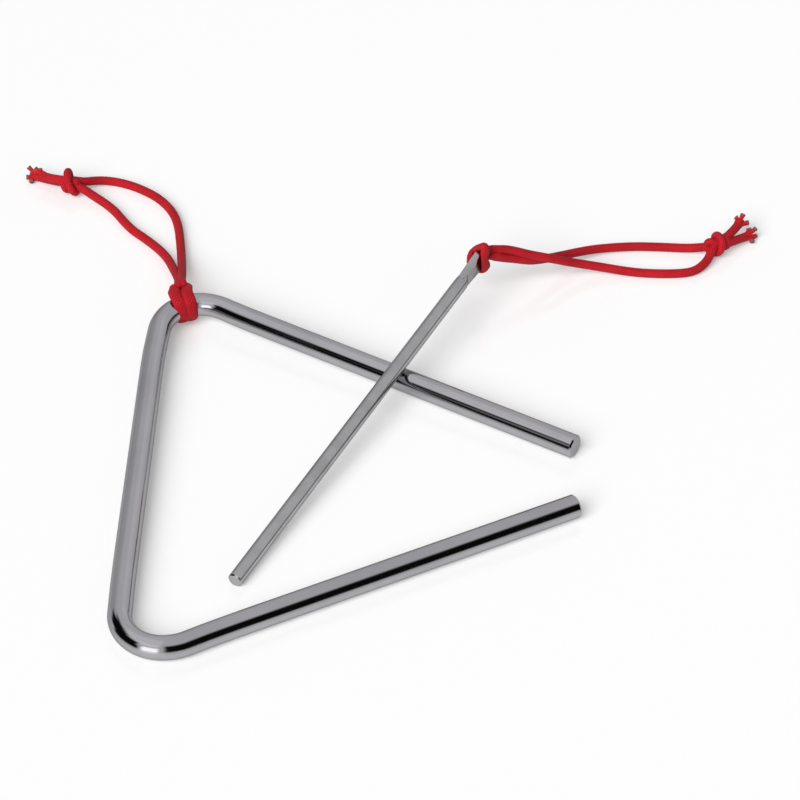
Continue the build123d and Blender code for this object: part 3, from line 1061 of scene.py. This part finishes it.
@dataclass
class TriangleRod:
    """Chromed round rod, bent twice into an open triangle."""

    radius: float = 4.0 * MM
    corner: float = 60.0            # degrees between two legs
    corner_spacing: float = 195.5 * MM
    leg: float = 165.5 * MM
    bend: float = 15.0 * MM
    chamfer: float = 0.5 * MM
    tip: float = 0.911              # degrees, about the lower leg
    bows: tuple[tuple[float, ...], ...] = (     # along the rod, sideways and back, and reach, in millimetres
        (168.0, 0.8, 0.0, 8.0), (153.0, 0.0, 1.2, 9.0), (326.0, 0.6, -1.4, 13.0))
    flattening: float = 0.02        # share of the radius that a bend loses across its plane
    flat_run: int = 9               # points over which that flattening starts
    columns: int = 72
    leg_steps: int = 24
    bend_steps: int = 48
    sharp_angle: float = 28.0       # degrees between faces that meet in an edge
    finish: MetalFinish = MetalFinish(
        "chrome_plate", colour=(0.43, 0.425, 0.44), hazed_colour=(0.395, 0.39, 0.41), smooth=0.05, rough=0.12,
        haze_size=45.0, grain_size=1800.0, pit_share=0.003, bump=0.06, edge_tint=0.5)

    def centre_line(self) -> tuple[np.ndarray, np.ndarray]:
        """Lays the rod's middle from its upper free end to its lower one, tipped about the lower leg.

        Returns:
            The points, and the direction that stands on the rod's plane.
        """
        half_corner = math.radians(self.corner / 2)
        bend_turn = 180.0 - self.corner
        back = -self.corner_spacing / (2 * math.sqrt(3))
        upper = Vector((back, self.corner_spacing / 2, self.radius)) + LAYOUT_SHIFT * MM
        lower = Vector((back, -self.corner_spacing / 2, self.radius)) + LAYOUT_SHIFT * MM
        upper_way = Vector((math.cos(half_corner), -math.sin(half_corner), 0.0))
        lower_way = Vector((math.cos(half_corner), math.sin(half_corner), 0.0))
        upper_in = Vector((math.sin(half_corner), -math.cos(half_corner), 0.0))
        lower_in = Vector((math.sin(half_corner), math.cos(half_corner), 0.0))
        tangent = self.bend * math.tan(math.radians(bend_turn / 2))
        depth = self.bend / math.sin(half_corner)
        upper_end = upper + upper_way * self.leg
        lower_end = lower + lower_way * self.leg
        upper_start = upper + upper_way * tangent
        lower_start = lower + Vector((0.0, tangent, 0.0))
        upper_bend = arc_points(upper + upper_in * depth, upper_start, bend_turn, self.bend_steps)
        lower_bend = arc_points(lower + lower_in * depth, lower_start, bend_turn, self.bend_steps)
        stations = [upper_end, upper_end - upper_way * self.chamfer,
                    *between(upper_end, upper_bend[0], self.leg_steps),
                    *upper_bend,
                    *between(upper_bend[-1], lower_bend[0], self.leg_steps),
                    *lower_bend,
                    *between(lower_bend[-1], lower_end, self.leg_steps),
                    lower_end - lower_way * self.chamfer, lower_end]
        tilt = Quaternion(lower_way, math.radians(self.tip))
        return np.array([lower + tilt @ (station - lower) for station in stations]), np.array(tilt @ UP)

    def bend_shares(self, line: np.ndarray) -> np.ndarray:
        """Tells how far into a bend each point of the rod is.

        Args:
            line: centre points of the rod.

        Returns:
            Shares from 0 on the straight to 1 in the middle of a bend.
        """
        ways = unit_rows(np.gradient(line, axis=0))
        turned = np.linalg.norm(np.gradient(ways, axis=0), axis=1)
        turned = np.convolve(turned, np.ones(self.flat_run) / self.flat_run, mode="same")
        return np.clip(turned / turned.max(), 0.0, 1.0)

    def build(self, wear: bpy.types.NodeTree) -> None:
        """Builds the rod.

        Args:
            wear: the shared group of fine wear.
        """
        line, over = self.centre_line()
        along = travelled(line)
        for station, sideways, backwards, reach in self.bows:
            share = np.exp(-0.5 * ((along / MM - station) / reach) ** 2)
            line += share[:, None] * np.array([sideways, backwards, 0.0]) * MM
        thick = np.full(len(line), self.radius)
        thick[[0, -1]] = self.radius - self.chamfer
        across = thick * (1.0 - self.flattening * self.bend_shares(line))
        pile = MeshPile()
        pile.add_tube(line, along, thick, across, self.columns, facing=np.tile(over, (len(line), 1)))
        piece = pile.make("triangle_rod_chrome", self.finish.build(wear))
        piece.data.set_sharp_from_angle(angle=math.radians(self.sharp_angle))
        dress(piece, "triangle_rod", Body.TRIANGLE)


@dataclass
class BeaterRod:
    """Thin steel rod, hammered flat and pierced at its upper end."""

    radius: float = 2.5 * MM
    length: float = 180.0 * MM
    chamfer: float = 0.4 * MM
    blade_length: float = 20.0 * MM
    blade_half: float = 1.2 * MM
    ramp: float = 3.0 * MM
    loose_fit: float = 1.5          # of the die where the flattening starts, in radii
    squareness: float = 8.0         # power that rounds the corners of the flattened shaft
    edge_round: float = 0.4 * MM
    eye_radius: float = 4.0 * MM
    hole_radius: float = 2.6 * MM
    foot: Point = (-35.477 * MM, -62.485 * MM, 2.491 * MM)
    columns: int = 56
    first_ring: float = 4.0 * MM    # from the foot to the first ring above its chamfer
    shaft_rings: int = 40
    ramp_rings: int = 17
    side_steps: int = 13            # directions from the eye to each straight side of the blade
    round_steps: int = 65           # directions from the eye to its round end
    corner_steps: int = 5
    sharp_angle: float = 32.0       # degrees between faces that meet in an edge
    finish: MetalFinish = MetalFinish(
        "drawn_steel", colour=(0.44, 0.44, 0.44), hazed_colour=(0.38, 0.38, 0.385), smooth=0.12, rough=0.22,
        haze_size=140.0, grain_size=2600.0, pit_share=0.006, bump=0.25, edge_tint=0.4)

    def build(self, wear: bpy.types.NodeTree) -> None:
        """Builds the rod with its blade.

        Args:
            wear: the shared group of fine wear.
        """
        way = Vector(BEATER_WAY).normalized()
        side = way.cross(UP).normalized()
        basis = np.array([side, side.cross(way), way])
        pile = MeshPile()
        pile.add_grid(self.shaft() @ basis + np.array(self.foot), capped=True)
        pile.add_grid(self.blade() @ basis + np.array(self.foot), capped=False)
        piece = pile.make("beater_rod_steel", self.finish.build(wear))
        piece.data.set_sharp_from_angle(angle=math.radians(self.sharp_angle))
        dress(piece, "beater_rod", Body.BEATER)

    def shaft(self) -> np.ndarray:
        """Lays the rings of the round rod, pressed to a wedge where it runs into the blade.

        Returns:
            Rings of points: sideways, upwards and along the rod.
        """
        shoulder = self.length - self.blade_length
        start = shoulder - self.ramp
        stations = [0.0, self.chamfer, *np.linspace(self.first_ring, start, self.shaft_rings),
                    *np.linspace(start, shoulder + self.ramp, self.ramp_rings)[1:]]
        angles = np.arange(self.columns) * (FULL_TURN / self.columns)
        rings = []
        for station in stations:
            radius = self.radius - max(0.0, self.chamfer - station)
            share = max(0.0, (station - start) / (2 * self.ramp))
            half = self.loose_fit * self.radius * (1.0 - share) + self.blade_half * share
            sideways = radius * np.cos(angles)
            squeeze = (1.0 + np.abs(sideways / half) ** self.squareness) ** (1.0 / self.squareness)
            ring = (sideways / squeeze, radius * np.sin(angles), np.full(self.columns, station))
            rings.append(np.stack(ring, axis=1))
        return np.array(rings)

    def blade(self) -> np.ndarray:
        """Lays the sections of the pierced blade, one for each direction from the middle of its eye.

        Returns:
            Rings of points: sideways, upwards and along the rod.
        """
        eye_station = self.length - self.eye_radius
        neck = eye_station - (self.length - self.blade_length)
        corner_turn = math.atan2(self.radius, neck)
        touch = math.acos(self.eye_radius / math.hypot(self.radius, neck)) + corner_turn
        touch_over = self.eye_radius * math.sin(touch)
        touch_back = self.eye_radius * math.cos(touch)
        run_back = neck - touch_back
        run_over = self.radius - touch_over
        turns = np.concatenate([
            np.linspace(-corner_turn, corner_turn, self.side_steps)[:-1],
            np.linspace(corner_turn, touch, self.side_steps)[:-1],
            np.linspace(touch, FULL_TURN - touch, self.round_steps)[:-1],
            np.linspace(FULL_TURN - touch, FULL_TURN - corner_turn, self.side_steps)[:-1]])
        rings = []
        for turn in turns:
            back = math.cos(turn)
            upwards = math.sin(turn)
            outer = self.eye_radius
            if back > math.cos(corner_turn) - ROUNDING:
                outer = neck / back
            elif back > math.cos(touch):
                outer = ((touch_back * run_over - touch_over * run_back)
                         / (back * run_over - abs(upwards) * run_back))
            rings.append([[across, upwards * reach, eye_station - back * reach]
                          for reach, across in self.blade_section(outer)])
        return np.array(rings)

    def blade_section(self, outer: float) -> list[tuple[float, float]]:
        """Rounds the section of the blade between its hole and its edge.

        Args:
            outer: distance of the edge from the middle of the eye.

        Returns:
            Points round the section: distance from the middle of the eye, and sideways.
        """
        round_in = self.edge_round
        half = self.blade_half - round_in
        corners = ((outer - round_in, half, 0.0), (self.hole_radius + round_in, half, 90.0),
                   (self.hole_radius + round_in, -half, 180.0), (outer - round_in, -half, 270.0))
        section = []
        for reach, across, first in corners:
            for step in range(self.corner_steps):
                turn = math.radians(first + 90.0 * step / (self.corner_steps - 1))
                section.append((reach + round_in * math.cos(turn), across + round_in * math.sin(turn)))
        return section


@dataclass(frozen=True)
class TentPatch:
    """A darker or brighter patch of the tent, in degrees of bearing from the front and of height."""

    level: float
    left: float
    right: float
    bottom: float
    top: float
    left_edge: float
    right_edge: float
    top_edge: float
    bottom_edge: float = 5.0

    def mask(self, nodes: Nodes, turn: bpy.types.NodeSocket,
             height: bpy.types.NodeSocket) -> bpy.types.NodeSocket:
        """Lays out the patch's soft outline.

        Args:
            nodes: the world's nodes.
            turn: bearing from the front.
            height: height above the horizon.

        Returns:
            A mask, 1 inside the patch.
        """
        rise = nodes.ramp(turn, self.left - self.left_edge, self.left + self.left_edge)
        fall = nodes.ramp(turn, self.right - self.right_edge, self.right + self.right_edge, 1.0, 0.0)
        above = nodes.ramp(height, self.bottom - self.bottom_edge, self.bottom + self.bottom_edge)
        under = nodes.ramp(height, self.top - self.top_edge, self.top + self.top_edge, 1.0, 0.0)
        sides = nodes.math("MULTIPLY", rise, fall)
        return nodes.math("MULTIPLY", sides, nodes.math("MULTIPLY", above, under))


@dataclass(frozen=True)
class TableFinish:
    """White table top with a faint polish, lifted to white where it is looked at."""

    name: str = "white_table"
    colour: Colour = (0.8, 0.8, 0.8)
    white: Colour = (1.0, 1.0, 1.0)
    lift: float = 0.25
    polish: float = 0.12
    polish_index: float = 1.4

    def build(self) -> bpy.types.Material:
        """Builds the material.

        Returns:
            The material.
        """
        material, nodes = fresh_material(self.name)
        path = nodes.add("ShaderNodeLightPath").outputs
        seen = nodes.math("MAXIMUM", path["Is Camera Ray"], path["Is Glossy Ray"])
        seen = nodes.math("MAXIMUM", seen, path["Is Transmission Ray"])
        matt = nodes.add("ShaderNodeBsdfDiffuse", None, Color=opaque(self.colour))
        glow = nodes.add("ShaderNodeEmission", None, Color=opaque(self.white),
                         Strength=nodes.math("MULTIPLY", seen, self.lift))
        both = nodes.add("ShaderNodeAddShader")
        nodes.feed(both.inputs[0], matt.outputs[0])
        nodes.feed(both.inputs[1], glow.outputs[0])
        polish = nodes.add("ShaderNodeBsdfGlossy", None, Color=opaque(self.white), Roughness=self.polish)
        sheen = nodes.add("ShaderNodeMixShader")
        nodes.feed(sheen.inputs[0], nodes.add("ShaderNodeFresnel", None, IOR=self.polish_index).outputs[0])
        nodes.feed(sheen.inputs[1], both.outputs[0])
        nodes.feed(sheen.inputs[2], polish.outputs[0])
        nodes.add("ShaderNodeOutputMaterial", None, Surface=sheen.outputs[0])
        return material


@dataclass
class Studio:
    """Table top, surroundings, lamp and camera."""

    focal: float = 3595.69          # in pixels of a picture that is 800 wide
    picture: float = 800.0
    sensor: float = 36.0            # millimetres
    clip: tuple[float, float] = (0.05, 50.0)
    distance: float = 1215.84 * MM
    elevation: float = 0.6626741    # radians
    yaw: float = -0.0302402         # radians
    target: Point = (28.017, 44.111, 0.0)
    floor_half: float = 3.0
    floor: TableFinish = TableFinish()
    tent: float = 0.77
    tint: Colour = (1.0, 0.99, 1.02)     # faintly violet
    patches: tuple[TentPatch, ...] = (
        TentPatch(0.57, 122.0, 164.0, -20.0, 6.0, 4.0, 4.0, 4.0),
        TentPatch(0.16, 80.0, 122.0, -20.0, 8.0, 4.0, 4.0, 4.0),
        TentPatch(0.88, 146.0, 170.0, 8.0, 40.0, 8.0, 10.0, 8.0),
        TentPatch(0.94, -165.0, -8.0, 52.0, 100.0, 10.0, 8.0, 8.0),
        TentPatch(0.6, -164.0, -132.0, -20.0, 34.0, 15.0, 5.0, 8.0),
        TentPatch(1.1, -68.0, -8.0, 40.0, 60.0, 8.0, 8.0, 8.0),
        TentPatch(0.006, -150.0, -130.0, 40.0, 46.0, 6.0, 6.0, 4.0),
        TentPatch(0.006, -136.0, -116.0, 18.0, 49.0, 7.0, 6.0, 7.0),
        TentPatch(0.006, -126.0, -94.0, 8.0, 49.0, 9.0, 6.0, 7.0),
        TentPatch(0.006, -104.0, -53.5, -90.0, 44.0, 6.0, 5.0, 7.0),
        TentPatch(0.006, -72.0, -47.0, -90.0, 22.0, 6.0, 4.0, 8.0),
        TentPatch(0.006, 4.0, 80.0, -90.0, 51.0, 6.0, 5.0, 9.0),
        TentPatch(2.2, -40.0, -8.0, -90.0, 29.0, 5.0, 5.0, 9.0))
    fill: float = 0.25              # even light from all round
    key_azimuth: float = -118.0
    key_elevation: float = 39.0
    key_spread: float = 44.0        # degrees across the lamp
    key_strength: float = 3.4

    def build(self) -> None:
        """Builds the whole setting."""
        self.make_camera()
        self.make_floor()
        self.make_world()
        self.make_key()
        bpy.context.scene.view_settings.view_transform = "Standard"

    def make_camera(self) -> None:
        """Puts the camera where the set was seen from."""
        level = math.cos(self.elevation)
        forward = Vector((math.sin(self.yaw) * level, math.cos(self.yaw) * level, -math.sin(self.elevation)))
        data = bpy.data.cameras.new("camera")
        data.sensor_width = self.sensor
        data.lens = self.focal / self.picture * self.sensor
        data.clip_start, data.clip_end = self.clip
        camera = bpy.data.objects.new("camera", data)
        camera.location = place(self.target) - forward * self.distance
        camera.rotation_mode = "QUATERNION"
        camera.rotation_quaternion = forward.to_track_quat("-Z", "Y")
        bpy.context.scene.collection.objects.link(camera)
        bpy.context.scene.camera = camera

    def make_floor(self) -> None:
        """Lays a white table top that keeps the shadows."""
        reach = self.floor_half
        mesh = bpy.data.meshes.new("table_top")
        corners = [(-reach, -reach, 0.0), (reach, -reach, 0.0), (reach, reach, 0.0), (-reach, reach, 0.0)]
        mesh.from_pydata(corners, [], [(0, 1, 2, 3)])
        mesh.materials.append(self.floor.build())
        floor = bpy.data.objects.new("table_top", mesh)
        bpy.context.scene.collection.objects.link(floor)

    def grey(self, level: float) -> Shade:
        """Gives a tinted grey of the tent."""
        return opaque(tuple(level * share for share in self.tint))

    def make_world(self) -> None:
        """Surrounds the set with a grey tent of darker and brighter patches, which only reflections see."""
        world = bpy.data.worlds.new("tent")
        bpy.context.scene.world = world
        world.use_nodes = True
        world.node_tree.nodes.clear()
        nodes = Nodes(world.node_tree)
        around = nodes.add("ShaderNodeTexCoord").outputs["Generated"]
        way = nodes.add("ShaderNodeSeparateXYZ", None, Vector=around).outputs
        front = nodes.math("MULTIPLY", way["Y"], -1.0)
        turn = nodes.math("DEGREES", nodes.math("ARCTAN2", way["X"], front))
        height = nodes.math("DEGREES", nodes.math("ARCSINE", way["Z"]))
        seen = self.grey(self.tent)
        for patch in self.patches:
            seen = nodes.blend(patch.mask(nodes, turn, height), seen, self.grey(patch.level))
        path = nodes.add("ShaderNodeLightPath").outputs
        mirrored = nodes.blend(path["Is Glossy Ray"], opaque((self.fill, self.fill, self.fill)), seen)
        shown = nodes.blend(path["Is Camera Ray"], mirrored, opaque(self.floor.white))
        sky = nodes.add("ShaderNodeBackground", None, Color=shown, Strength=1.0)
        nodes.add("ShaderNodeOutputWorld", None, Surface=sky.outputs[0])

    def make_key(self) -> None:
        """Hangs a soft lamp above the set, to the front and left."""
        turn = math.radians(self.key_azimuth)
        lift = math.radians(self.key_elevation)
        way = Vector((math.cos(turn) * math.cos(lift), math.sin(turn) * math.cos(lift), math.sin(lift)))
        data = bpy.data.lights.new("key", "SUN")
        data.angle = math.radians(self.key_spread)
        data.energy = self.key_strength
        lamp = bpy.data.objects.new("key", data)
        lamp.location = place(self.target) + way
        lamp.rotation_mode = "QUATERNION"
        lamp.rotation_quaternion = (-way).to_track_quat("-Z", "Y")
        lamp.visible_glossy = False
        bpy.context.scene.collection.objects.link(lamp)


def main() -> None:
    """Builds the set in order."""
    logging.basicConfig(level=logging.INFO, format="%(message)s")
    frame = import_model()
    joints = {joint["name"]: joint for joint in frame["joints"]}
    Studio().build()
    wear = MetalWear().build()
    TriangleRod().build(wear)
    BeaterRod().build(wear)
    braid = Braid()
    finish = CordFinish().build()
    HolderCord().build(joints["holder_swing"], braid, finish)
    BeaterCord().build(joints["beater_cord_swing"], braid, finish)


if __name__ == "__main__":
    main()
